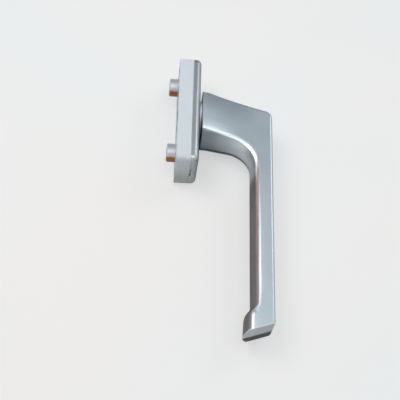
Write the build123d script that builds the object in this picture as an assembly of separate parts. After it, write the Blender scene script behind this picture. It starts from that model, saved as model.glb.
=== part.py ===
"""Tilt-and-turn window handle: a lever on an oblong rose, with the click mechanism inside.

Millimetres. The origin is the middle of the rose's back face, on the lever's turning axis.
+X points away from the window, +Z up and Y across. The lever hangs to -Z, which is closed.
"""
import os
from math import radians, sqrt, tan

from build123d import *

# Rose: the base plate on the window and the cap over it
rose_width = 28.0
rose_height = 67.0
rose_corner_r = 3.6
rose_draft_deg = 1.6
base_depth = 7.8
rose_depth = 11.95
base_side_wall = 1.8
base_rib = 1.6
seam_chamfer = 0.25
cap_wall = 1.2
cap_front_wall = 1.3
cap_edge_r = 2.8
cap_fit = 0.1
spigot_height = 1.5
spigot_wall = 1.5
snap_proud = 0.3
snap_half_width = 0.5
snap_length = 6.0
snap_offset = 7.0
snap_height = 0.8
pry_notch_width = 7.0
pry_notch_height = 0.9

# Fixing lugs: turned sleeves pressed through the base plate
screw_spacing = 43.0
screw_hole_d = 5.3
screw_head_d = 10.0
lug_d = 10.0
lug_proud = 5.0
lug_chamfer = 0.5
lug_shoulder = 0.3
lug_flange_d = 12.6
lug_flange_thick = 2.0
lug_flange_sunk = 0.4
lug_boss_wall = 2.0
seat_clearance = 0.03

# Turning hub and click mechanism
shank_d = 15.6
running_clearance = 0.05
bush_wall = 1.05
bush_collar_d = 19.6
bush_end_gap = 0.1
cap_hole_gap = 0.2
spindle_square = 7.05
spindle_depth = 26.0
shank_end_x = 0.5
shank_flats = 13.2
washer_d = 19.4
washer_thick = 0.8
cam_flats = 16.4
cam_corner_r = 3.0
cam_thick = 2.3
stack_gap = 0.05
ring_groove_d = 11.8
ring_d = 17.0
ring_thick = 1.0
ring_slot = 3.2
ring_ear_r = 1.5
ring_ear_hole_d = 1.2
chamber_width = 23.4
chamber_height = 28.6
back_plate_thick = 1.0
back_plate_sunk = 0.15
back_plate_ledge = 0.6
back_plate_fit = 0.1
back_plate_gap = 0.2
stake_length = 3.0
stake_overlap = 0.5
spring_thick = 0.6
spring_width = 2.1
spring_flat = 10.4
spring_end_gap = 0.7
spring_side_gap = 0.25
spring_bend_r = 6.0

# Lever: neck, bend, grip and hooked end
neck_gap = 1.1
neck_level_length = 3.2
neck_level_r = 14.0
neck_slope_deg = 14.6
neck_under_slope_deg = 8.5
neck_top_z = 12.6
neck_apex_z = -15.5
neck_half_width = 11.8
neck_waist_x = 42.0
grip_half_width = 9.1
grip_outer_x = 51.9
grip_apex_x = 40.5
outer_corner_r = 4.5
inner_bend_r = 14.0
end_outer_z = -119.4
end_slope_deg = 18.8
hook_start_z = -110.2
hook_flare_x = 3.2
hook_flare_z = 3.7
hook_lean_x = 0.8
hook_inner_r = 5.0
hook_outer_r = 6.5
belly_r = 18.5
inner_edge_r = 4.5
outer_edge_r = 1.5
end_edge = 0.35
neck_edge = 0.4

# Worked out from the sizes above
draft = tan(radians(rose_draft_deg))
neck_back_x = rose_depth + neck_gap
back_plate_front_x = back_plate_sunk + back_plate_thick
ring_back_x = back_plate_front_x + back_plate_gap
ring_front_x = ring_back_x + ring_thick
cam_back_x = ring_front_x + stack_gap
cam_front_x = cam_back_x + cam_thick
washer_back_x = cam_front_x + stack_gap
washer_front_x = washer_back_x + washer_thick
chamber_front_x = washer_front_x + stack_gap
bush_bore_d = shank_d + 2 * running_clearance
bush_spigot_d = bush_bore_d + 2 * bush_wall
lug_centres = [(0, screw_spacing / 2), (0, -screw_spacing / 2)]
lug_seat_x = base_depth - lug_flange_sunk - lug_flange_thick
lug_seat_d = lug_d + 2 * lug_shoulder
neck_slope = tan(radians(neck_slope_deg))
neck_under_slope = tan(radians(neck_under_slope_deg))
end_slope = tan(radians(end_slope_deg))
neck_level_x = neck_back_x + neck_level_length

# Cutting shapes run past what they cut by this much, and edges are told apart this closely
overrun = 4.0
edge_tolerance = 0.03


def across(x):
    """A sketching plane square to the turning axis, at a distance from the back face."""
    return Plane(origin=(x, 0, 0), x_dir=(0, 1, 0), z_dir=(1, 0, 0))


def rose_outline(x, inset=0.0):
    """The rose's drafted outline at a depth, or a line inset from it."""
    shrink = 2 * (x * draft + inset)
    corner = max(rose_corner_r - x * draft - inset, 0.5)
    return across(x) * RectangleRounded(rose_width - shrink, rose_height - shrink, corner)


def drafted(x_from, x_to, inset=0.0):
    """A block between two depths whose sides follow the rose's draft."""
    return extrude(rose_outline(x_from, inset), x_to - x_from, taper=rose_draft_deg)


def disc(diameter, x_from, x_to, centre=(0, 0)):
    """A round plate or pin along the turning axis."""
    return extrude(across(x_from) * Pos(*centre) * Circle(diameter / 2), x_to - x_from)


def snap_ridges(x, fit=0.0):
    """The four short ridges on the cap's end walls, or the grooves that they click into."""
    wall_z = rose_height / 2 - x * draft - cap_wall
    half = snap_half_width + fit
    outline = [
        (x - half, 0, wall_z + cap_wall / 2),
        (x - half, 0, wall_z),
        (x, 0, wall_z - snap_proud - fit),
        (x + half, 0, wall_z),
        (x + half, 0, wall_z + cap_wall / 2)]
    profile = make_face(Polyline(*outline, close=True))
    ridge = extrude(profile, snap_length / 2 + fit, dir=(0, 1, 0), both=True)
    upper = [Pos(0, side * snap_offset, 0) * ridge for side in (1, -1)]
    return upper + [mirror(each, Plane.XY) for each in upper]


def base_plate():
    """Die-cast plate: ribbed from behind, with bosses for the lugs and a chamber for the click."""
    body = drafted(0, base_depth)
    front_edges = body.faces().sort_by(Axis.X)[-1].edges()
    body = chamfer(front_edges, seam_chamfer)
    spigot_top = base_depth + spigot_height
    rim = drafted(base_depth, spigot_top, cap_wall + cap_fit)
    rim -= drafted(base_depth, spigot_top, cap_wall + cap_fit + spigot_wall)
    body += rim
    for groove in snap_ridges(base_depth + snap_height, cap_fit):
        body -= groove
    # Hollows behind the two ends, left as thin walls round the screw bosses
    boss_d = lug_flange_d + 2 * lug_boss_wall
    hollow_width = rose_width - 2 * base_side_wall
    hollow_low = chamber_height / 2 + base_rib
    hollow_high = rose_height / 2 - base_side_wall
    middle = (hollow_low + hollow_high) / 2
    for side in (1, -1):
        place = Pos(0, side * middle)
        corner = rose_corner_r - base_side_wall
        window = place * RectangleRounded(hollow_width, hollow_high - hollow_low, corner)
        hollow = extrude(across(0) * window, chamber_front_x)
        hollow -= disc(boss_d, 0, chamber_front_x, (0, side * screw_spacing / 2))
        rib_height = hollow_high - screw_spacing / 2
        rib_place = Pos(0, side * (screw_spacing / 2 + rib_height / 2))
        rib = extrude(across(0) * rib_place * Rectangle(base_rib, rib_height), chamber_front_x)
        body -= hollow - rib
    # Chamber for the click mechanism, with a ledge for the plate that closes it
    chamber = across(0) * RectangleRounded(chamber_width, chamber_height, 1.0)
    body -= extrude(chamber, chamber_front_x)
    ledge = across(0) * RectangleRounded(
        chamber_width + 2 * back_plate_ledge, chamber_height + 2 * back_plate_ledge, 1.5)
    body -= extrude(ledge, back_plate_front_x)
    body -= disc(bush_spigot_d + 2 * seat_clearance, chamber_front_x, base_depth)
    for centre in lug_centres:
        body -= disc(lug_seat_d + 2 * seat_clearance, 0, base_depth, centre)
        body -= disc(lug_flange_d + 2 * seat_clearance, lug_seat_x, base_depth, centre)
    # Lips of metal staked over the plate's long edges
    stake_y = chamber_width / 2 + back_plate_ledge - stake_overlap / 2
    for y in (stake_y, -stake_y):
        for z in (chamber_height / 4, -chamber_height / 4):
            lip = across(0) * Pos(y, z) * Rectangle(stake_overlap, stake_length)
            body += extrude(lip, back_plate_sunk)
    return body


def lug_sleeve(centre):
    """Turned sleeve that locates in the window and carries the screw's countersunk head."""
    flange_top = lug_seat_x + lug_flange_thick
    sleeve = disc(lug_d, -lug_proud, lug_seat_x, centre)
    sleeve = chamfer(sleeve.faces().sort_by(Axis.X)[0].edges(), lug_chamfer)
    sleeve += disc(lug_seat_d, 0, lug_seat_x, centre)
    sleeve += disc(lug_flange_d, lug_seat_x, flange_top, centre)
    sleeve -= disc(screw_hole_d, -lug_proud, flange_top, centre)
    sink = (screw_head_d - screw_hole_d) / 2
    cone = Pos(flange_top - sink / 2, *centre) * Rot(0, 90, 0)
    sleeve -= cone * Cone(screw_hole_d / 2, screw_head_d / 2, sink)
    return sleeve


def cover_cap():
    """Thin cap that snaps over the base plate's rim and hides the screws."""
    cap = drafted(base_depth, rose_depth)
    cap = fillet(cap.faces().sort_by(Axis.X)[-1].edges(), cap_edge_r)
    cap -= drafted(base_depth, rose_depth - cap_front_wall, cap_wall)
    for ridge in snap_ridges(base_depth + snap_height):
        cap += ridge
    cap -= disc(bush_collar_d + 2 * cap_hole_gap, base_depth, rose_depth)
    # Slot for a screwdriver, in the middle of the lower end
    notch_z = -rose_height / 2 + cap_wall / 2
    notch = Pos(base_depth, 0, notch_z) * Box(2 * pry_notch_height, pry_notch_width, 2 * cap_wall)
    return cap - notch


def slide_bush():
    """Pale plastic bush: its collar shows between the cap and the lever's neck."""
    bush = disc(bush_collar_d, base_depth, neck_back_x - bush_end_gap)
    bush += disc(bush_spigot_d, chamber_front_x, base_depth)
    return bush - disc(bush_bore_d, chamber_front_x, neck_back_x)


def back_plate():
    """Steel plate that closes the chamber, cleared round the lever's shank."""
    side = 2 * (back_plate_ledge - back_plate_fit)
    outline = RectangleRounded(chamber_width + side, chamber_height + side, 1.5 - back_plate_fit)
    hole = Circle(shank_flats / 2 + 4 * running_clearance)
    return extrude(across(back_plate_sunk) * (outline - hole), back_plate_thick)


def detent_spring(side):
    """Bowed leaf spring that presses on one flat of the cam."""
    rest_y = cam_flats / 2 + running_clearance + spring_thick / 2
    end_y = chamber_width / 2 - spring_side_gap - spring_thick / 2
    end_z = chamber_height / 2 - spring_end_gap
    flat = spring_flat / 2
    leaf = FilletPolyline(
        (side * end_y, -end_z),
        (side * rest_y, -flat),
        (side * rest_y, flat),
        (side * end_y, end_z),
        radius=spring_bend_r)
    strip = trace(leaf, spring_thick)
    middle_x = (cam_back_x + cam_front_x) / 2
    return extrude(across(middle_x - spring_width / 2) * strip, spring_width)


def detent_cam():
    """Four-sided click plate, driven by the flats on the lever's shank."""
    outline = RectangleRounded(cam_flats, cam_flats, cam_corner_r)
    hole = Circle(shank_d / 2 + running_clearance)
    hole &= Rectangle(shank_flats + 2 * running_clearance, shank_flats + 2 * running_clearance)
    return extrude(across(cam_back_x) * (outline - hole), cam_thick)


def thrust_washer():
    """Plastic washer between the cam and the base plate."""
    ring = disc(washer_d, washer_back_x, washer_front_x)
    return ring - disc(bush_bore_d, washer_back_x, washer_front_x)


def retaining_ring():
    """Open spring ring in the shank's groove, with two ears for the pliers."""
    inner_d = ring_groove_d + 2 * running_clearance
    ear_y = ring_slot / 2 + ring_ear_r
    ear_z = (inner_d + ring_d) / 4 + ring_ear_r / 2
    outline = Circle(ring_d / 2) - Circle(inner_d / 2)
    outline -= Pos(0, ring_d / 2) * Rectangle(ring_slot, ring_d)
    for y in (ear_y, -ear_y):
        outline += Pos(y, ear_z) * Circle(ring_ear_r)
        outline -= Pos(y, ear_z) * Circle(ring_ear_hole_d / 2)
    return extrude(across(ring_back_x) * outline, ring_thick)


def neck_fall(x, slope=neck_slope):
    """How far the neck has dropped: level by the rose, then sloping down and outwards."""
    return slope * max(x - neck_level_x, 0)


def end_face_z(x):
    """Height of the slanted cut at the lever's end."""
    return end_outer_z - end_slope * (grip_outer_x - x)


def inner_line():
    """The lever's inner profile: underside of the neck, bend, grip and flared hook."""
    hook_x = grip_apex_x - hook_flare_x
    tip_x = hook_x - hook_lean_x
    return FilletPolyline(
        (neck_back_x - overrun, 0, neck_apex_z),
        (neck_level_x, 0, neck_apex_z),
        (grip_apex_x, 0, neck_apex_z - neck_fall(grip_apex_x, neck_under_slope)),
        (grip_apex_x, 0, hook_start_z),
        (hook_x, 0, hook_start_z - hook_flare_z),
        (tip_x, 0, end_face_z(tip_x) - overrun),
        radius=[neck_level_r, inner_bend_r, hook_inner_r, hook_outer_r])


def outer_line():
    """The lever's outer profile: top of the neck, corner and the back of the grip."""
    return FilletPolyline(
        (neck_back_x - overrun, 0, neck_top_z),
        (neck_level_x, 0, neck_top_z),
        (grip_outer_x, 0, neck_top_z - neck_fall(grip_outer_x)),
        (grip_outer_x, 0, end_face_z(grip_apex_x) - 2 * overrun),
        radius=[neck_level_r, outer_corner_r])


def plan_outline():
    """The lever seen from above: it narrows in a wide arc from the rose to the grip."""
    widening = neck_half_width - grip_half_width
    run = neck_waist_x - neck_back_x
    arc_r = (run ** 2 + widening ** 2) / (2 * widening)
    start_x = neck_back_x - overrun
    start_y = grip_half_width + arc_r - sqrt(arc_r ** 2 - (run + overrun) ** 2)
    waist = (neck_waist_x, grip_half_width)
    corner = (grip_outer_x + overrun, grip_half_width)
    flare = TangentArc(waist, (start_x, start_y), tangent=(-1, 0))
    side = [flare, Line(waist, corner)]
    ends = [Line((start_x, start_y), (start_x, 0)), Line(corner, (corner[0], 0))]
    return make_face([*side, *ends, Line((start_x, 0), (corner[0], 0))])


def belly_cutter():
    """What is cut away along the inner profile to leave it rounded across its width."""
    line = inner_line()
    reach = neck_half_width + 0.1 * overrun
    drop = belly_r - sqrt(belly_r ** 2 - reach ** 2)
    edges = [
        ThreePointArc((-reach, drop), (0, 0), (reach, drop)),
        Polyline((reach, drop), (reach, -overrun / 2), (-reach, -overrun / 2), (-reach, drop))]
    plane = Plane(origin=line @ 0, x_dir=(0, 1, 0), z_dir=line % 0)
    return sweep(sections=plane * make_face(edges), path=line)


def lever_blank():
    """Neck, bend, grip and hook with sharp edges, cut square at the rose and slanted at the end."""
    inner = inner_line()
    outer = outer_line()
    ends = [Line(inner @ 0, outer @ 0), Line(inner @ 1, outer @ 1)]
    side_view = make_face([*inner.edges(), *outer.edges(), *ends])
    blank = extrude(side_view, amount=neck_half_width + overrun, dir=(0, 1, 0), both=True)
    half_plan = plan_outline()
    plan = Pos(0, 0, neck_top_z + overrun) * (half_plan + mirror(half_plan, Plane.XZ))
    blank &= extrude(plan, amount=neck_top_z + 3 * overrun - end_face_z(grip_apex_x), dir=(0, 0, -1))
    blank = split(blank, across(neck_back_x), keep=Keep.TOP)
    end_plane = Plane(
        origin=(grip_outer_x, 0, end_outer_z), x_dir=(0, 1, 0), z_dir=(-end_slope, 0, 1))
    return split(blank, end_plane, keep=Keep.TOP)


def is_end_cut(edge):
    """Whether an edge lies on the slanted cut at the lever's end."""
    point = edge @ 0.5
    return point.Z < end_face_z(point.X) + edge_tolerance


def is_neck_cut(edge):
    """Whether an edge lies on the square cut that faces the rose."""
    return (edge @ 0.5).X < neck_back_x + edge_tolerance


def runs_along(edge, line):
    """Whether an edge of the blank follows a profile line on one of the lever's sides."""
    point = edge @ 0.5
    if abs(point.Y) < grip_half_width / 2 or is_end_cut(edge) or is_neck_cut(edge):
        return False
    return line.distance_to(Vertex(point.X, 0, point.Z)) < edge_tolerance


def shank():
    """Turned shank behind the neck: flats for the cam, a groove for its ring and a square socket."""
    shoulder_x = cam_front_x + stack_gap / 2
    tail_x = ring_back_x - stack_gap / 2
    pin = disc(shank_d, shoulder_x, neck_back_x + overrun)
    flats = Circle(shank_d / 2) & Rectangle(shank_flats, shank_flats)
    pin += extrude(across(tail_x) * flats, shoulder_x - tail_x)
    pin += disc(shank_flats, shank_end_x, tail_x)
    groove = disc(shank_d, tail_x, ring_front_x + stack_gap / 2)
    groove -= disc(ring_groove_d, tail_x, ring_front_x + stack_gap / 2)
    return pin - groove


def lever():
    """One casting: the rounded inner face meets the sides in a crease, and the shank is turned."""
    body = lever_blank()
    outer = outer_line()
    inner = inner_line()
    body = fillet([edge for edge in body.edges() if runs_along(edge, outer)], outer_edge_r)
    body = fillet([edge for edge in body.edges() if runs_along(edge, inner)], inner_edge_r)
    body -= belly_cutter()
    body = chamfer([edge for edge in body.edges() if is_end_cut(edge)], end_edge)
    body = chamfer([edge for edge in body.edges() if is_neck_cut(edge)], neck_edge)
    body += shank()
    socket = across(shank_end_x) * Rectangle(spindle_square, spindle_square)
    return body - extrude(socket, spindle_depth)


pieces = {
    "base_plate": base_plate(),
    "lug_sleeve_upper": lug_sleeve(lug_centres[0]),
    "lug_sleeve_lower": lug_sleeve(lug_centres[1]),
    "cover_cap": cover_cap(),
    "slide_bush": slide_bush(),
    "back_plate": back_plate(),
    "detent_spring_left": detent_spring(-1),
    "detent_spring_right": detent_spring(1),
    "detent_cam": detent_cam(),
    "thrust_washer": thrust_washer(),
    "retaining_ring": retaining_ring(),
    "lever": lever(),
}

os.makedirs("parts", exist_ok=True)
for name, piece in pieces.items():
    piece.label = name
    export_step(piece, f"parts/{name}.step")
    print(name, piece.is_valid, len(piece.solids()), round(piece.volume))
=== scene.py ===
# %% [markdown]
# # A window handle, dressed and lit
# The handle lies on its side on a pale table: a silver lever on an oblong rose, with two round
# lugs behind that sit in the window. Nearly every solid comes from the imported CAD model, so this
# lesson is about finishes and wear, painted light and shade, one small ring, a table, a few soft
# lamps, and a camera that looks as the photograph does.

# %% Load the imported handle
from math import cos, radians, sin

import bmesh
import bpy
from mathutils import Matrix, Vector


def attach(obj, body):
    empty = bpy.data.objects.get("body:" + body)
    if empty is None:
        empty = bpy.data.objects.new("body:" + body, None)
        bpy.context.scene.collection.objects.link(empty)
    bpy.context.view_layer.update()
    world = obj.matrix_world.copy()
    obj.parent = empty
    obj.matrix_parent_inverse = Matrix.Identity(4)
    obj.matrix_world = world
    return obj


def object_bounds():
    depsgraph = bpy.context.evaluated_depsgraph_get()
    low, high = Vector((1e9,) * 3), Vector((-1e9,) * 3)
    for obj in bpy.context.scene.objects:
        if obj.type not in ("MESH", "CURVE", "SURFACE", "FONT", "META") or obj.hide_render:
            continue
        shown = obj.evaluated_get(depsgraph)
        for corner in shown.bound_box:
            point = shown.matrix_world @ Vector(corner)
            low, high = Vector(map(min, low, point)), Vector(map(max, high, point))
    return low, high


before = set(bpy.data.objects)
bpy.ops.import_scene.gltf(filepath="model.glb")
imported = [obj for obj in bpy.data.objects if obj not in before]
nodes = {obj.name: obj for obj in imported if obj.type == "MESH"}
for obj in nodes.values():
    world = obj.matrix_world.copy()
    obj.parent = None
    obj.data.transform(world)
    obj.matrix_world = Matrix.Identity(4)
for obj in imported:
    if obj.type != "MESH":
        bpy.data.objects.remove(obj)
cad_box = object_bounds()
scene = bpy.context.scene
scene.view_settings.view_transform = "Standard"
print("nodes:", ", ".join(sorted(nodes)))

# %% [markdown]
# ## The camera
# The photographer stood in front of the rose's long side and a little towards the lever's end.
# A camera fitted to the rose's straight edges gives two angles, a small roll, a distance and two
# shifts. Working its place out from those few numbers keeps the view easy to read and to change.

# %% Work out the camera's place
camera_turn = radians(-4.206)
camera_rise = radians(-28.368)
camera_roll = radians(1.548)
camera_side = 0.01275
camera_height = -0.04431
camera_distance = 0.4981

backwards = Vector((
    sin(camera_turn) * cos(camera_rise),
    -cos(camera_turn) * cos(camera_rise),
    sin(camera_rise)))
level_right = (-backwards).cross(Vector((0, 0, 1))).normalized()
level_up = backwards.cross(level_right)
right = cos(camera_roll) * level_right + sin(camera_roll) * level_up
upwards = cos(camera_roll) * level_up - sin(camera_roll) * level_right
camera_place = camera_side * right + camera_height * upwards + camera_distance * backwards
print("camera at", [round(value, 3) for value in camera_place])

# %% [markdown]
# ## The lens
# The rose's long edges stay nearly parallel in the photograph, so the lens is a long one. The
# camera's three directions are the columns of its matrix, which turns it without a constraint.

# %% Place the camera
camera_data = bpy.data.cameras.new("camera")
camera_data.lens = 81.0
camera_data.sensor_width = 36.0
camera_data.clip_start = 0.01
camera_data.clip_end = 20.0
camera = bpy.data.objects.new("camera", camera_data)
scene.collection.objects.link(camera)
camera_turning = Matrix((right, upwards, backwards)).transposed().to_4x4()
camera.matrix_world = Matrix.Translation(camera_place) @ camera_turning
scene.camera = camera
print("lens", camera_data.lens, "mm")

# %% [markdown]
# ## Materials and their nodes
# A finish is a small tree of nodes. The first helper starts a material and the second adds one
# node with its inputs set, so that a finish reads as a list of what the surface has. Object
# coordinates are lengths in the handle's own frame, so a pattern stays on its piece.

# %% Helpers for materials and nodes
def new_material(name):
    """A material with a Principled shader, and its tree."""
    material = bpy.data.materials.new(name)
    material.use_nodes = True
    tree = material.node_tree
    tree.nodes.clear()
    output = tree.nodes.new("ShaderNodeOutputMaterial")
    shader = tree.nodes.new("ShaderNodeBsdfPrincipled")
    tree.links.new(shader.outputs["BSDF"], output.inputs["Surface"])
    return material, tree, shader


def add_node(tree, kind, inputs=None, **settings):
    """A node with its settings, and its inputs set to values or linked to other nodes."""
    node = tree.nodes.new(kind)
    for key, value in settings.items():
        setattr(node, key, value)
    for key, value in (inputs or {}).items():
        if isinstance(value, bpy.types.NodeSocket):
            tree.links.new(value, node.inputs[key])
        else:
            node.inputs[key].default_value = value
    return node


def object_place(tree, scale=(1, 1, 1)):
    """Object coordinates, stretched along each axis."""
    coordinates = add_node(tree, "ShaderNodeTexCoord")
    mapping = add_node(tree, "ShaderNodeMapping", {
        "Vector": coordinates.outputs["Object"], "Scale": scale})
    return mapping.outputs["Vector"]


box_size = [round(high - low, 4) for low, high in zip(*cad_box)]
print("object coordinates span", box_size, "m")

# %% [markdown]
# ## Noise and ramps
# Clouds and grains come from a noise, and a stain's edge comes from a ramp: a share that goes
# from 0 to 1 while some number, such as a height or a distance, crosses a band.

# %% Helpers for noise, ramps and colours
def noise(tree, place, scale, detail=2.0, roughness=0.5):
    """Cloudy noise from 0 to 1, with its scale in cells per metre."""
    node = add_node(tree, "ShaderNodeTexNoise", {
        "Vector": place, "Scale": scale, "Detail": detail, "Roughness": roughness})
    return node.outputs["Fac"]


def spread(tree, value, low, high):
    """A value from 0 to 1 spread between two numbers."""
    node = add_node(tree, "ShaderNodeMapRange", {
        "Value": value, "To Min": low, "To Max": high})
    return node.outputs["Result"]


def ramp(tree, value, band, low=0.0, high=1.0):
    """A number that goes smoothly from low to high while a value crosses a band."""
    band_start, band_end = band
    node = add_node(tree, "ShaderNodeMapRange", {
        "Value": value, "From Min": band_start, "From Max": band_end,
        "To Min": low, "To Max": high}, interpolation_type="SMOOTHSTEP")
    return node.outputs["Result"]


def blend_colours(tree, factor, first, second):
    """A colour between two, by a factor."""
    node = add_node(tree, "ShaderNodeMix", data_type="RGBA")
    tree.links.new(factor, node.inputs["Factor"])
    for socket, colour in ((node.inputs[6], first), (node.inputs[7], second)):
        if isinstance(colour, bpy.types.NodeSocket):
            tree.links.new(colour, socket)
        else:
            socket.default_value = colour
    return node.outputs[2]


print("noise, ramps and blends are ready")

# %% [markdown]
# ## Sums between nodes
# A painted mark of shade or brown sits where several things are true at once: inward of the
# crease, below the bend and in the noise's high places. Each is a share from 0 to 1, and their
# product is the mark.

# %% Helpers for sums
def sums(tree, operation, first, second=0.0):
    """The result of one sum on two numbers."""
    node = add_node(tree, "ShaderNodeMath", {0: first, 1: second}, operation=operation)
    return node.outputs["Value"]


def line(tree, value, slope, offset):
    """A value times a slope, plus an offset, where either may be another node's output."""
    node = add_node(
        tree, "ShaderNodeMath", {0: value, 1: slope, 2: offset}, operation="MULTIPLY_ADD")
    return node.outputs["Value"]


def product(tree, first, *others):
    """Several shares multiplied together."""
    for other in others:
        first = sums(tree, "MULTIPLY", first, other)
    return first


print("sums are ready")

# %% [markdown]
# ## Worn edges and fine relief
# A coat rubs off first along its edges. A Bevel node gives a rounded normal, and where that
# differs from the true one there is an edge, so edges are found without changing the mesh. A
# noise breaks them up. Grain and orange peel are relief too fine to model, so they are a bump.

# %% Helpers for edges and relief
edge_alikeness_band = (0.995, 0.93)
edge_patch_scale = 500.0
edge_patch_band = (0.35, 0.62)


def worn_edges(tree, place, width):
    """1 on sharp edges and 0 on flat places, broken up by a noise."""
    rounded = add_node(tree, "ShaderNodeBevel", {"Radius": width}, samples=6)
    surface = add_node(tree, "ShaderNodeNewGeometry")
    alike = add_node(tree, "ShaderNodeVectorMath", {
        0: rounded.outputs["Normal"], 1: surface.outputs["Normal"]}, operation="DOT_PRODUCT")
    edge = ramp(tree, alike.outputs["Value"], edge_alikeness_band)
    patches = noise(tree, place, edge_patch_scale, detail=3.0)
    return product(tree, edge, ramp(tree, patches, edge_patch_band))


def bump(tree, height, strength, distance):
    """A tilted normal from a height, which counts in steps of a distance in metres."""
    node = add_node(tree, "ShaderNodeBump", {
        "Height": height, "Strength": strength, "Distance": distance})
    return node.outputs["Normal"]


print("edges wear across patches of", round(1 / edge_patch_scale, 4), "m")

# %% [markdown]
# ## The lever's satin silver
# The lever is a casting with a satin silver coat: fine grains in the lacquer, faint clouds from
# the casting below, brighter worn edges and soft highlights. An even grey metal would look like
# a toy, so a wide noise changes colour and roughness, and a fine one gives the grains and a very
# shallow bump. The cap has the same coat in a darker shade, so the coat is a function.

# %% Coat the lever in satin silver
cloud_scale = 60.0
cloud_share_low = 0.2
cloud_share_high = 0.8
grain_scale = 2600.0
grain_darkest = 0.90
grain_brightest = 1.06
grain_strength = 0.12
grain_depth = 0.00005
coat_edge_width = 0.0004
coat_edge_wear = 0.7
rubbed_silver = (0.72, 0.74, 0.75, 1)
coat_metallic = 0.85
coat_specular_tint = (0.32, 0.34, 0.35, 1)


def dress(names, material):
    """Gives CAD nodes their finish."""
    for name in names:
        mesh = nodes[name].data
        mesh.materials.clear()
        mesh.materials.append(material)
    print("dressed", ", ".join(names), "in", material.name)


def satin_silver(name, light, dark, smoothest, roughest):
    """Silver coat: clouds and grains in its colour, and grains in its surface."""
    material, tree, shader = new_material(name)
    place = object_place(tree)
    clouds = noise(tree, place, cloud_scale, detail=3.0)
    grains = noise(tree, place, grain_scale)
    cloud_share = spread(tree, clouds, cloud_share_low, cloud_share_high)
    colour = blend_colours(tree, cloud_share, dark, light)
    speck = spread(tree, grains, grain_darkest, grain_brightest)
    shade = add_node(tree, "ShaderNodeVectorMath", {0: colour, 1: speck}, operation="MULTIPLY")
    edges = product(tree, worn_edges(tree, place, coat_edge_width), coat_edge_wear)
    worn = blend_colours(tree, edges, shade.outputs["Vector"], rubbed_silver)
    tree.links.new(worn, shader.inputs["Base Color"])
    tree.links.new(spread(tree, clouds, smoothest, roughest), shader.inputs["Roughness"])
    tree.links.new(bump(tree, grains, grain_strength, grain_depth), shader.inputs["Normal"])
    shader.inputs["Metallic"].default_value = coat_metallic
    shader.inputs["Specular Tint"].default_value = coat_specular_tint
    return material


lever_silver = satin_silver(
    "lever_silver", light=(0.53, 0.60, 0.65, 1), dark=(0.47, 0.54, 0.59, 1),
    smoothest=0.31, roughest=0.39)
dress(["lever"], lever_silver)

# %% [markdown]
# ## How far a point is from the crease
# On the grip, the painted dark reflection of the inner face and the painted brown line follow the
# crease between the inner face and the lever's sides. One number, how far out from the crease a
# point lies, places everything there. The crease steps inward at the hook, and the number follows
# it.

# %% Measure from the crease
crease_x = 0.0424
hook_step = 0.0038
hook_step_band = (-0.1090, -0.1145)
blotch_scale = 420.0
blotch_stretch = (1, 1, 0.5)

lever_tree = lever_silver.node_tree
lever_place = object_place(lever_tree)
lever_axes = add_node(lever_tree, "ShaderNodeSeparateXYZ", {0: lever_place})
out_x = lever_axes.outputs["X"]
across_y = lever_axes.outputs["Y"]
up_z = lever_axes.outputs["Z"]
hook_shift = ramp(lever_tree, up_z, hook_step_band, high=hook_step)
from_crease = sums(lever_tree, "ADD", sums(lever_tree, "SUBTRACT", out_x, crease_x), hook_shift)
blotches = noise(lever_tree, object_place(lever_tree, blotch_stretch), blotch_scale, detail=3.0)
print("crease at x =", crease_x, "and at the hook", round(crease_x - hook_step, 4))

# %% [markdown]
# ## Painted dark reflection on the grip's inner face
# The grip's inner face, down to the hook, is painted dark and brownish: a painted reflection of
# dark surroundings, laid over the coat as a second colour inward of the crease. A noise moves its
# edge and its strength, and where it is strong the surface is rougher.

# %% Paint a dark reflection on the grip's inner face
def shader_of(material):
    """A material's Principled shader."""
    return material.node_tree.nodes["Principled BSDF"]


def recolour(material, share, colour):
    """Lays a second colour over a finish, as far as a share from 0 to 1 says."""
    socket = shader_of(material).inputs["Base Color"]
    below = socket.links[0].from_socket
    over = blend_colours(material.node_tree, share, below, colour)
    material.node_tree.links.new(over, socket)


# A painted dark reflection: its colour, how far its edge wanders, and its strength.
inner_reflection_colour = (0.20, 0.165, 0.155, 1)
inner_reflection_wander = 0.0008
inner_reflection_edge_band = (0.0021, 0.0014)
inner_reflection_top_band = (-0.030, -0.044)
inner_reflection_weakest = 0.72
inner_reflection_strongest = 0.98
inner_reflection_roughening = 0.12

inner_reflection_edge = line(lever_tree, blotches, inner_reflection_wander, from_crease)
inner_reflection = product(
    lever_tree,
    ramp(lever_tree, inner_reflection_edge, inner_reflection_edge_band),
    ramp(lever_tree, up_z, inner_reflection_top_band),
    spread(lever_tree, blotches, inner_reflection_weakest, inner_reflection_strongest))
recolour(lever_silver, inner_reflection, inner_reflection_colour)
coat_roughness = shader_of(lever_silver).inputs["Roughness"]
rougher = line(lever_tree, inner_reflection, inner_reflection_roughening, coat_roughness.links[0].from_socket)
lever_tree.links.new(rougher, coat_roughness)
print("stained below z =", inner_reflection_top_band[0])

# %% [markdown]
# ## A painted light on the bend
# The bend's inner side is painted in a lighter metal colour, a painted highlight. The bend's inner
# side lies nearer to the middle of its arc than the crease does, so a distance from that middle
# picks it out.

# %% Paint light on the bend
def distance_from(tree, place, point):
    """How far a place lies from a point."""
    node = add_node(tree, "ShaderNodeVectorMath", {0: place, 1: point}, operation="DISTANCE")
    return node.outputs["Value"]


# The lighter colour is painted light, here and on the end's near half.
painted_light_metal = (0.72, 0.74, 0.76, 1)
bend_painted_light = 0.85
bend_middle = (0.0265, 0.0, -0.0312)
bend_edge_band = (0.0170, 0.0162)
bend_start_band = (0.027, 0.039)
bend_end_band = (-0.042, -0.032)

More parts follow.
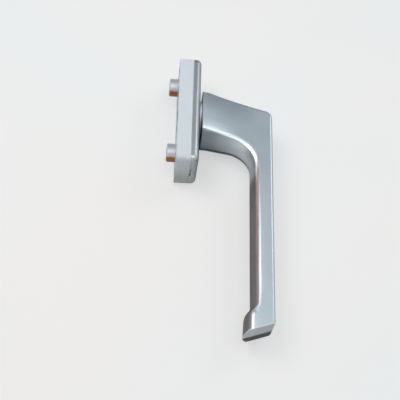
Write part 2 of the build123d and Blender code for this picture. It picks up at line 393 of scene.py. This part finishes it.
flat_place = add_node(lever_tree, "ShaderNodeCombineXYZ", {"X": out_x, "Z": up_z})
from_bend = distance_from(lever_tree, flat_place.outputs["Vector"], bend_middle)
painted_bend_light = product(
    lever_tree,
    ramp(lever_tree, from_bend, bend_edge_band, high=bend_painted_light),
    ramp(lever_tree, out_x, bend_start_band),
    ramp(lever_tree, up_z, bend_end_band))
recolour(lever_silver, painted_bend_light, painted_light_metal)
print("bend polished to", bend_edge_band[0], "m from its middle")

# %% [markdown]
# ## Painted shade under the neck
# The neck's underside beside the rose is painted darker: painted shade. It lies below the crease
# on the neck, which is a sloping line, so a straight-line sum of two coordinates finds it.

# %% Find the neck's underside for its painted shade
neck_crease_z = -0.00943
neck_crease_slope = -0.149
neck_crease_band = (-0.0002, 0.0010)
neck_reach_band = (0.036, 0.014)
# How strong the neck's painted shade is.
neck_painted_shade = 0.62

neck_line = line(lever_tree, out_x, neck_crease_slope, neck_crease_z)
below_neck = sums(lever_tree, "SUBTRACT", neck_line, up_z)
neck_underside = ramp(lever_tree, below_neck, neck_crease_band)
neck_underside_shade = product(
    lever_tree, neck_underside, ramp(lever_tree, out_x, neck_reach_band, high=neck_painted_shade))
print("neck's crease at z =", neck_crease_z, "on the turning axis, sloping", neck_crease_slope)

# %% [markdown]
# ## The two halves of the slanted end
# The lever's end is one slanted plane. Its near half is painted brighter, a painted highlight, and
# its far half darker, a painted shade.
# How far a point lies above that plane tells the end from the hook's sides, and the place across
# the grip tells one half from the other.

# %% Paint light and shade on the end
# The dark colour of all painted shade on the lever: the neck's underside, the end's far half, the
# gap and the streak.
painted_shade_colour = (0.075, 0.085, 0.09, 1)
end_outer_x = 0.0519
end_outer_z = -0.1194
end_slope = 0.3404
end_edge_band = (0.0008, 0.0004)
end_halves_band = (0.0010, 0.0030)
end_painted_light = 0.8
end_painted_shade = 0.85

end_line = line(lever_tree, out_x, end_slope, end_outer_z - end_slope * end_outer_x)
above_end = sums(lever_tree, "SUBTRACT", up_z, end_line)
cut_end = ramp(lever_tree, above_end, end_edge_band)
near_half = ramp(lever_tree, across_y, end_halves_band, low=end_painted_light, high=0.0)
recolour(lever_silver, product(lever_tree, cut_end, near_half), painted_light_metal)
far_half = ramp(lever_tree, across_y, end_halves_band, high=end_painted_shade)
far_end_shade = product(lever_tree, cut_end, far_half)
recolour(lever_silver, sums(lever_tree, "MAXIMUM", neck_underside_shade, far_end_shade), painted_shade_colour)
print("end halved at y =", end_halves_band)

# %% [markdown]
# ## Painted shade in the gap and a painted shadow below the neck
# The narrow gap between the lever and the cap is painted dark, mostly its lower part: painted
# shade. A streak below the neck and the bend, on the side that lies on the table, is painted dark
# too: a painted contact shadow. The gap is a place along the turning axis, and the streak is a
# band across the lever.

# %% Paint the gap's shade and the streak's shadow
gap_band = (0.0138, 0.0134)
gap_shade_strength = 0.75
gap_height_band = (-0.002, -0.008)
gap_shade_above = 0.35
streak_neck_band = (0.036, 0.030)
streak_bend_edge_band = (0.0172, 0.0164)
streak_bend_start_band = (0.028, 0.034)
streak_bend_end_band = (-0.052, -0.040)
streak_near_band = (0.0028, 0.0044)
streak_far_band = (0.0075, 0.0052)
streak_shadow_strength = 0.9

# Painted shade in the gap, then a painted shadow streak under the neck and the bend.
gap_shade = product(
    lever_tree,
    ramp(lever_tree, out_x, gap_band, high=gap_shade_strength),
    ramp(lever_tree, up_z, gap_height_band, low=gap_shade_above))
below_neck_side = product(
    lever_tree, neck_underside, ramp(lever_tree, out_x, streak_neck_band))
below_bend_side = product(
    lever_tree,
    ramp(lever_tree, from_bend, streak_bend_edge_band),
    ramp(lever_tree, out_x, streak_bend_start_band),
    ramp(lever_tree, up_z, streak_bend_end_band))
streak = product(
    lever_tree,
    sums(lever_tree, "MAXIMUM", below_neck_side, below_bend_side),
    ramp(lever_tree, across_y, streak_near_band, high=streak_shadow_strength),
    ramp(lever_tree, across_y, streak_far_band))
recolour(lever_silver, sums(lever_tree, "MAXIMUM", gap_shade, streak), painted_shade_colour)
print("streak from y =", streak_near_band[0], "to", streak_far_band[0])

# %% [markdown]
# ## Painted brown at the crease and the corner
# Along the crease a thin brown line is painted: a painted reflection of a brown surface. The
# hook's far corner is painted the same brown: a painted shadow. A band between two distances makes
# the line, which fades towards the hook, and a distance from one point makes the corner.

# %% Paint the brown reflection along the crease
# A painted brown reflection along the crease, broken into patches by a noise.
brown_line_inner_band = (0.0003, 0.0012)
brown_line_outer_band = (0.0022, 0.0014)
brown_line_top_band = (-0.022, -0.032)
brown_line_fade_band = (-0.118, -0.060)
brown_line_at_hook = 0.30
brown_line_at_bend = 0.95
brown_line_end_band = (0.0006, 0.0014)
brown_line_patch_band = (0.30, 0.58)
brown_line_between_patches = 0.5

brown_reflection_line = product(
    lever_tree,
    ramp(lever_tree, from_crease, brown_line_inner_band),
    ramp(lever_tree, from_crease, brown_line_outer_band),
    ramp(lever_tree, up_z, brown_line_top_band),
    ramp(lever_tree, up_z, brown_line_fade_band, brown_line_at_hook, brown_line_at_bend),
    ramp(lever_tree, above_end, brown_line_end_band),
    ramp(lever_tree, blotches, brown_line_patch_band, low=brown_line_between_patches))
print("copper line from", brown_line_inner_band[0], "to", brown_line_outer_band[0], "m past the crease")

# %% [markdown]
# ## The far corner's painted shadow
# The corner's patch joins the line under one colour, the same painted brown.

# %% Paint the far corner's brown shadow
# One brown for the painted reflection along the crease and the painted shadow at the corner.
painted_brown_colour = (0.33, 0.175, 0.125, 1)
far_corner = (0.0365, 0.0091, -0.1246)
far_corner_band = (0.0058, 0.0046)

from_corner = distance_from(lever_tree, lever_place, far_corner)
brown_shadow_corner = ramp(lever_tree, from_corner, far_corner_band)
recolour(lever_silver, sums(lever_tree, "MAXIMUM", brown_reflection_line, brown_shadow_corner), painted_brown_colour)
print("copper within", far_corner_band[0], "m of the far corner")

# %% [markdown]
# ## Soft shoulders on the neck
# The real casting bulges a little, and the neck's sides fall away above and below. The plain
# solid is flat there. A bump whose height is in metres tilts the surface without moving the
# mesh. Each fall is a parabola, which is how far a circle of that radius drops, and it fades out
# where the real one is flat.

# %% Round the neck
def shoulder_fall(tree, depth, width, radius, fade):
    """The drop of a rounded shoulder, from how far into its width a point lies."""
    inside = sums(tree, "MINIMUM", sums(tree, "MAXIMUM", depth, 0.0), width)
    return product(tree, inside, inside, fade, -0.5 / radius)


neck_low_width = 0.0074
neck_low_radius = 0.018
neck_low_band = (0.036, 0.016)
neck_top_x = 0.0163
neck_top_z = 0.0126
neck_top_slope = -0.26
neck_high_width = 0.014
neck_high_radius = 0.056
neck_high_band = (0.048, 0.018)

neck_low = shoulder_fall(
    lever_tree, sums(lever_tree, "ADD", below_neck, neck_low_width),
    neck_low_width, neck_low_radius, ramp(lever_tree, out_x, neck_low_band))
neck_top_line = line(lever_tree, out_x, neck_top_slope, neck_top_z - neck_top_slope * neck_top_x)
below_top = sums(lever_tree, "SUBTRACT", neck_top_line, up_z)
neck_high = shoulder_fall(
    lever_tree, sums(lever_tree, "SUBTRACT", neck_high_width, below_top),
    neck_high_width, neck_high_radius, ramp(lever_tree, out_x, neck_high_band))
print("neck rounded over", neck_low_width, "m below and", neck_high_width, "m above")

# %% [markdown]
# ## Soft shoulders on the grip
# The grip's sides fall away towards the crease, and their shoulder moves inward with it at the
# hook. All three falls are one height, which goes into the grain's bump, so that the grains lie
# on the rounded surface.

# %% Round the grip
grip_start_x = 0.0494
grip_width = 0.0083
grip_radius = 0.038
grip_band = (-0.030, -0.075)
hook_widening_band = (-0.100, -0.118)

hook_widening = ramp(lever_tree, up_z, hook_widening_band, high=hook_step)
inward = sums(
    lever_tree, "SUBTRACT", sums(lever_tree, "SUBTRACT", grip_start_x, out_x), hook_widening)
grip_side = shoulder_fall(
    lever_tree, inward, grip_width, grip_radius, ramp(lever_tree, up_z, grip_band))
neck_falls = sums(lever_tree, "ADD", neck_low, neck_high)
fall = sums(lever_tree, "ADD", neck_falls, grip_side)
grain_bump = shader_of(lever_silver).inputs["Normal"].links[0].from_node
lever_tree.links.new(bump(lever_tree, fall, 1.0, 1.0), grain_bump.inputs["Normal"])
print("grip rounded over", grip_width, "m, and", len(lever_tree.nodes), "nodes in the finish")

# %% [markdown]
# ## The cap's darker silver
# The cap is pressed from sheet and a little darker than the lever, so it has the same coat in
# its own colour.

# %% Coat the cap
cap_silver = satin_silver(
    "cap_silver", light=(0.44, 0.48, 0.50, 1), dark=(0.39, 0.43, 0.45, 1),
    smoothest=0.30, roughest=0.38)
dress(["cover_cap"], cap_silver)

# %% [markdown]
# ## The base plate's pale coat
# The plate against the window is painted in a pale matt grey. Powder paint has a fine orange
# peel, which a noise bump of a few hundredths of a millimetre gives.

# %% Paint the base plate
pale_paint_light = (0.75, 0.82, 0.87, 1)
pale_paint_dark = (0.70, 0.77, 0.81, 1)
chipped_paint = (0.50, 0.53, 0.55, 1)
paint_cloud_scale = 90.0
paint_cloud_low = 0.1
paint_cloud_high = 0.9
paint_smoothest = 0.42
paint_roughest = 0.52
peel_scale = 1400.0
peel_strength = 0.2
peel_depth = 0.00004
paint_edge_width = 0.0003
paint_edge_wear = 0.6

base_coat, base_tree, base_shader = new_material("base_coat")
base_place = object_place(base_tree)
paint_clouds = noise(base_tree, base_place, paint_cloud_scale, detail=3.0)
peel = noise(base_tree, base_place, peel_scale)
paint_share = spread(base_tree, paint_clouds, paint_cloud_low, paint_cloud_high)
paint = blend_colours(base_tree, paint_share, pale_paint_dark, pale_paint_light)
chips = product(
    base_tree, worn_edges(base_tree, base_place, paint_edge_width), paint_edge_wear)
chipped = blend_colours(base_tree, chips, paint, chipped_paint)
base_tree.links.new(chipped, base_shader.inputs["Base Color"])
base_tree.links.new(
    spread(base_tree, peel, paint_smoothest, paint_roughest), base_shader.inputs["Roughness"])
base_tree.links.new(
    bump(base_tree, peel, peel_strength, peel_depth), base_shader.inputs["Normal"])
dress(["base_plate"], base_coat)

# %% [markdown]
# ## Painted shade on the plate's lower end
# The plate's lower end is painted grey, darker towards the table: painted shade. It is the part of
# the plate below one height, and a slow ramp across it makes one side darker than the other.

# %% Paint shade on the plate's lower end
# The grey of the painted shade on the plate's lower end.
end_shade_paint = (0.36, 0.36, 0.34, 1)
lower_end_band = (-0.0316, -0.0332)
lower_end_width = 0.011
end_shade_near = 0.12
end_shade_far = 0.85

plate_axes = add_node(base_tree, "ShaderNodeSeparateXYZ", {0: base_place})
lower_end_shade = product(
    base_tree,
    ramp(base_tree, plate_axes.outputs["Z"], lower_end_band),
    ramp(base_tree, plate_axes.outputs["Y"], (-lower_end_width, lower_end_width),
         end_shade_near, end_shade_far))
recolour(base_coat, lower_end_shade, end_shade_paint)
print("plate's end stained below z =", lower_end_band[0])

# %% [markdown]
# ## Pale plastic
# The bush and the washer are pale slippery plastic, with soft clouds and no grain.

# %% Mould the plastic
plastic_light = (0.90, 0.93, 0.97, 1)
plastic_dark = (0.84, 0.88, 0.93, 1)
plastic_cloud_scale = 120.0
plastic_smoothest = 0.22
plastic_roughest = 0.30

pale_plastic, plastic_tree, plastic_shader = new_material("pale_plastic")
plastic_clouds = noise(plastic_tree, object_place(plastic_tree), plastic_cloud_scale)
plastic_colour = blend_colours(plastic_tree, plastic_clouds, plastic_dark, plastic_light)
plastic_tree.links.new(plastic_colour, plastic_shader.inputs["Base Color"])
plastic_sheen = spread(plastic_tree, plastic_clouds, plastic_smoothest, plastic_roughest)
plastic_tree.links.new(plastic_sheen, plastic_shader.inputs["Roughness"])
dress(["slide_bush", "thrust_washer"], pale_plastic)

# %% [markdown]
# ## Turned and pressed steel
# The sleeves are turned on a lathe, which leaves fine rings round them, and the sheet and spring
# parts are plated steel with rolling marks. A noise stretched along one direction draws both.

# %% Plate the steel
mark_scale = 900.0
mark_strength = 0.25
mark_depth = 0.00003
roughness_below = 0.05
roughness_above = 0.07


def plated_steel(name, light, dark, roughness, stretch, metallic=1.0):
    """Plated steel, with marks that run along one direction."""
    material, tree, shader = new_material(name)
    marks = noise(tree, object_place(tree, stretch), mark_scale, detail=3.0)
    tree.links.new(blend_colours(tree, marks, dark, light), shader.inputs["Base Color"])
    uneven = spread(tree, marks, roughness - roughness_below, roughness + roughness_above)
    tree.links.new(uneven, shader.inputs["Roughness"])
    tree.links.new(bump(tree, marks, mark_strength, mark_depth), shader.inputs["Normal"])
    shader.inputs["Metallic"].default_value = metallic
    return material


sheet_steel = plated_steel(
    "sheet_steel", light=(0.62, 0.63, 0.65, 1), dark=(0.50, 0.51, 0.54, 1),
    roughness=0.35, stretch=(1, 1, 0.1))
dress(["back_plate", "detent_cam"], sheet_steel)
spring_steel = plated_steel(
    "spring_steel", light=(0.42, 0.43, 0.45, 1), dark=(0.32, 0.33, 0.35, 1),
    roughness=0.28, stretch=(1, 1, 0.1))
dress(["detent_spring_left", "detent_spring_right", "retaining_ring"], spring_steel)
lug_steel = plated_steel(
    "lug_steel", light=(0.62, 0.62, 0.65, 1), dark=(0.54, 0.54, 0.57, 1),
    roughness=0.42, stretch=(1, 0.05, 0.05), metallic=0.5)
dress(["lug_sleeve_upper", "lug_sleeve_lower"], lug_steel)

# %% [markdown]
# ## Painted brown shadow on the lugs
# The lugs' undersides are painted brown: a painted shadow, as the lugs would cast on a brown
# table. The undersides are found from how far a point lies below its own lug's middle and towards
# the table, with a noise to break up the edge. Both sleeves share a finish, so the sign of Z says
# which lug a point is on.

# %% Paint brown shadow on the lugs' undersides
# The brown of the painted shadow on the lugs' undersides.
lug_shadow_brown = (0.34, 0.12, 0.05, 1)
lug_middle_z = 0.0215
lug_radius = 0.005
brown_start = 0.36 * lug_radius
brown_full = 0.60 * lug_radius
brown_down = 0.88
brown_towards_table = 0.47
brown_scale = 700.0
brown_wander = 0.0012
brown_back_band = (0.0, -0.0004)

lug_tree = lug_steel.node_tree
lug_place = object_place(lug_tree)
lug_axes = add_node(lug_tree, "ShaderNodeSeparateXYZ", {0: lug_place})
lug_z = lug_axes.outputs["Z"]
own_middle_z = product(lug_tree, sums(lug_tree, "SIGN", lug_z), lug_middle_z)
below_middle = sums(lug_tree, "SUBTRACT", own_middle_z, lug_z)
underside = line(
    lug_tree, lug_axes.outputs["Y"], brown_towards_table,
    product(lug_tree, below_middle, brown_down))
brown_noise = noise(lug_tree, lug_place, brown_scale, detail=4.0, roughness=0.62)
ragged = sums(
    lug_tree, "ADD", underside, spread(lug_tree, brown_noise, -brown_wander, brown_wander))
brown = product(
    lug_tree,
    ramp(lug_tree, ragged, (brown_start, brown_full)),
    ramp(lug_tree, lug_axes.outputs["X"], brown_back_band))
recolour(lug_steel, brown, lug_shadow_brown)
print("lugs browned from", round(brown_start, 4), "m below their middles")

# %% [markdown]
# ## The bush's collar
# A pale ring shows as a bright line between the cap and the neck. It is the bush's collar, which
# overlaps the edge of the cap's hole. One profile, spun round the turning axis, makes the ring,
# and a small bevel catches the light on its edges.

# %% Spin the collar
collar_inner_r = 0.0099
collar_outer_r = 0.0109
collar_back_x = 0.01198
collar_front_x = 0.01290
collar_steps = 96
collar_bevel = 0.00015
rim_angle = radians(60)
merge_distance = 0.00001

collar_mesh = bmesh.new()
corners = [
    collar_mesh.verts.new((x, 0.0, radius)) for x, radius in (
        (collar_back_x, collar_inner_r), (collar_front_x, collar_inner_r),
        (collar_front_x, collar_outer_r), (collar_back_x, collar_outer_r))]
profile = [
    collar_mesh.edges.new((corner, following))
    for corner, following in zip(corners, corners[1:] + corners[:1])]
bmesh.ops.spin(
    collar_mesh, geom=corners + profile, cent=(0, 0, 0), axis=(1, 0, 0),
    angle=radians(360), steps=collar_steps, use_merge=True)
bmesh.ops.remove_doubles(collar_mesh, verts=collar_mesh.verts, dist=merge_distance)
rims = [
    edge for edge in collar_mesh.edges
    if len(edge.link_faces) == 2 and edge.calc_face_angle() > rim_angle]
bmesh.ops.bevel(
    collar_mesh, geom=rims, offset=collar_bevel, segments=2, profile=0.5,
    affect="EDGES", material=-1)
bmesh.ops.recalc_face_normals(collar_mesh, faces=collar_mesh.faces)
print("collar faces:", len(collar_mesh.faces), "with", len(rims), "bevelled edges")

# %% [markdown]
# ## Seating the collar
# The bush is held in the rose, so its collar rides with the rose and stays still when the lever
# turns. It has the bush's own plastic.

# %% Seat the collar on the rose
collar_data = bpy.data.meshes.new("bush_collar")
collar_mesh.to_mesh(collar_data)
collar_mesh.free()
for face in collar_data.polygons:
    face.use_smooth = True
collar_data.materials.append(pale_plastic)
collar = bpy.data.objects.new("bush_collar", collar_data)
scene.collection.objects.link(collar)
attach(collar, "rose")
print("collar rides on the rose")

# %% [markdown]
# ## The table
# The handle lies on its side, so the table is an upright sheet behind it in this frame, one
# square face a little past the handle's own box. Turning a flat grid up by a quarter makes its
# face look at the camera.

# %% Lay the table
table_gap = 0.0004
table_half = 1.5
table_y = cad_box[1].y + table_gap

table_mesh = bmesh.new()
upright = Matrix.Translation((0, table_y, 0)) @ Matrix.Rotation(radians(90), 4, "X")
bmesh.ops.create_grid(
    table_mesh, x_segments=1, y_segments=1, size=table_half, matrix=upright)
table_data = bpy.data.meshes.new("table")
table_mesh.to_mesh(table_data)
table_mesh.free()
table = bpy.data.objects.new("table", table_data)
scene.collection.objects.link(table)
print("table at y =", round(table_y, 4), "with faces:", len(table_data.polygons))

# %% [markdown]
# ## The table's paper
# Part of the table's light is its own plain colour, by kind of ray: all that the camera may see
# keeps it pale, while the shadow still shows, and a smaller share for reflections keeps the
# metal's darks. It is seen only from the front, which leaves the handle's other side free.

# %% Share out the table's plain colour
def plain_rays(tree, glossy=1.0, diffuse=0.0):
    """The plain colour's share: whole for camera and glass, less where metal or paint looks."""
    ray = add_node(tree, "ShaderNodeLightPath")
    share = sums(tree, "ADD", ray.outputs["Is Camera Ray"], ray.outputs["Is Transmission Ray"])
    share = sums(tree, "ADD", share, spread(tree, ray.outputs["Is Glossy Ray"], 0.0, glossy))
    return sums(tree, "ADD", share, spread(tree, ray.outputs["Is Diffuse Ray"], 0.0, diffuse))


cool_paper = (0.88, 0.92, 0.93, 1)
warm_paper = (0.95, 0.91, 0.89, 1)
paper_cloud_scale = 9.0
paper_plain_share = 0.55
paper_in_metal = 0.6
paper_in_paint = 0.6

table_paper = bpy.data.materials.new("table_paper")
table_paper.use_nodes = True
paper_tree = table_paper.node_tree
paper_tree.nodes.clear()
warmth = noise(paper_tree, object_place(paper_tree), paper_cloud_scale, detail=1.0)
paper_colour = blend_colours(paper_tree, warmth, cool_paper, warm_paper)
lit = add_node(paper_tree, "ShaderNodeBsdfDiffuse", {"Color": paper_colour})
plain = add_node(paper_tree, "ShaderNodeEmission", {"Color": paper_colour, "Strength": 1.0})
plain_share = spread(
    paper_tree, plain_rays(paper_tree, paper_in_metal, paper_in_paint), 0.0, paper_plain_share)
seen = add_node(paper_tree, "ShaderNodeMixShader", {
    0: plain_share, 1: lit.outputs["BSDF"], 2: plain.outputs["Emission"]})
print("table shows", paper_plain_share, "of its plain colour")

# %% [markdown]
# ## One side only
# A view from behind would meet the table's back, so the back is clear and only the front is
# paper.

# %% Clear the table's back
side = add_node(paper_tree, "ShaderNodeNewGeometry")
clear = add_node(paper_tree, "ShaderNodeBsdfTransparent")
one_sided = add_node(paper_tree, "ShaderNodeMixShader", {
    0: side.outputs["Backfacing"], 1: seen.outputs["Shader"], 2: clear.outputs["BSDF"]})
add_node(paper_tree, "ShaderNodeOutputMaterial", {"Surface": one_sided.outputs["Shader"]})
table_data.materials.append(table_paper)
print("table's paper has", len(paper_tree.nodes), "nodes")

# %% [markdown]
# ## The sky
# Satin metal shows what stands round it. A plain pale sky lights the handle, a little weaker
# from below. Where metal looks up and forwards it meets a soft grey patch in the sky, which is
# what darkens the cap and the neck's top. Camera and reflections see the second sky, with the
# patch, and the light itself comes from the first.

# %% Make the sky
sky_light = (0.93, 0.97, 1.0, 1)
sky_height_band = (-0.7, 0.1)
sky_strength_below = 0.18
sky_strength_above = 0.48
room_pale = (0.83, 0.85, 0.86, 1)
room_grey = (0.27, 0.29, 0.31, 1)
grey_direction = Vector((0.05, -0.47, 0.88)).normalized()
grey_band = (cos(radians(40)), cos(radians(22)))

world = bpy.data.worlds.new("sky")
scene.world = world
world.use_nodes = True
sky_tree = world.node_tree
sky_tree.nodes.clear()
look = add_node(sky_tree, "ShaderNodeTexCoord").outputs["Generated"]
look_up = add_node(sky_tree, "ShaderNodeSeparateXYZ", {0: look}).outputs["Z"]
sky_strength = ramp(
    sky_tree, look_up, sky_height_band, sky_strength_below, sky_strength_above)
plain_sky = add_node(sky_tree, "ShaderNodeBackground", {
    "Color": sky_light, "Strength": sky_strength})
nearness = add_node(
    sky_tree, "ShaderNodeVectorMath", {0: look, 1: grey_direction}, operation="DOT_PRODUCT")
grey_patch = ramp(sky_tree, nearness.outputs["Value"], grey_band)
room_colour = blend_colours(sky_tree, grey_patch, room_pale, room_grey)
seen_sky = add_node(sky_tree, "ShaderNodeBackground", {"Color": room_colour, "Strength": 1.0})
sky = add_node(sky_tree, "ShaderNodeMixShader", {
    0: plain_rays(sky_tree),
    1: plain_sky.outputs["Background"], 2: seen_sky.outputs["Background"]})
add_node(sky_tree, "ShaderNodeOutputWorld", {"Surface": sky.outputs["Shader"]})
print("sky lights at", sky_strength_below, "to", sky_strength_above)

# %% [markdown]
# ## The lamps
# Three weak round lamps in front make the white bands beside the crease on the neck, the bend
# and the grip, and a fourth gives the far edges a line. Each is given as a direction from the
# handle and turned towards it, so that moving a highlight is a matter of one direction.

# %% Hang the lamps
handle_middle = Vector((0.03, 0.0, -0.035))


def soft_lamp(name, direction, distance, size, power, colour):
    """A round area lamp in a direction from the handle, turned towards it."""
    data = bpy.data.lights.new(name, "AREA")
    data.shape = "DISK"
    data.size = size
    data.energy = power
    data.color = colour
    lamp = bpy.data.objects.new(name, data)
    scene.collection.objects.link(lamp)
    towards = Vector(direction).normalized()
    lamp.location = handle_middle + towards * distance
    lamp.rotation_mode = "QUATERNION"
    lamp.rotation_quaternion = towards.to_track_quat("Z", "Y")
    print(name, [round(value, 2) for value in lamp.location])


soft_lamp(
    "grip_lamp", direction=(-0.46, -0.85, 0.25), distance=0.9, size=0.44, power=1.3,
    colour=(1.0, 0.98, 0.97))
soft_lamp(
    "bend_lamp", direction=(-0.42, -0.90, 0.00), distance=0.9, size=0.5, power=1.1,
    colour=(1.0, 0.99, 0.98))
soft_lamp(
    "neck_lamp", direction=(0.10, -0.97, -0.22), distance=0.9, size=0.5, power=1.35,
    colour=(0.98, 0.99, 1.0))
soft_lamp(
    "room_lamp", direction=(0.60, -0.66, 0.46), distance=1.0, size=0.32, power=1.0,
    colour=(0.97, 0.99, 1.0))
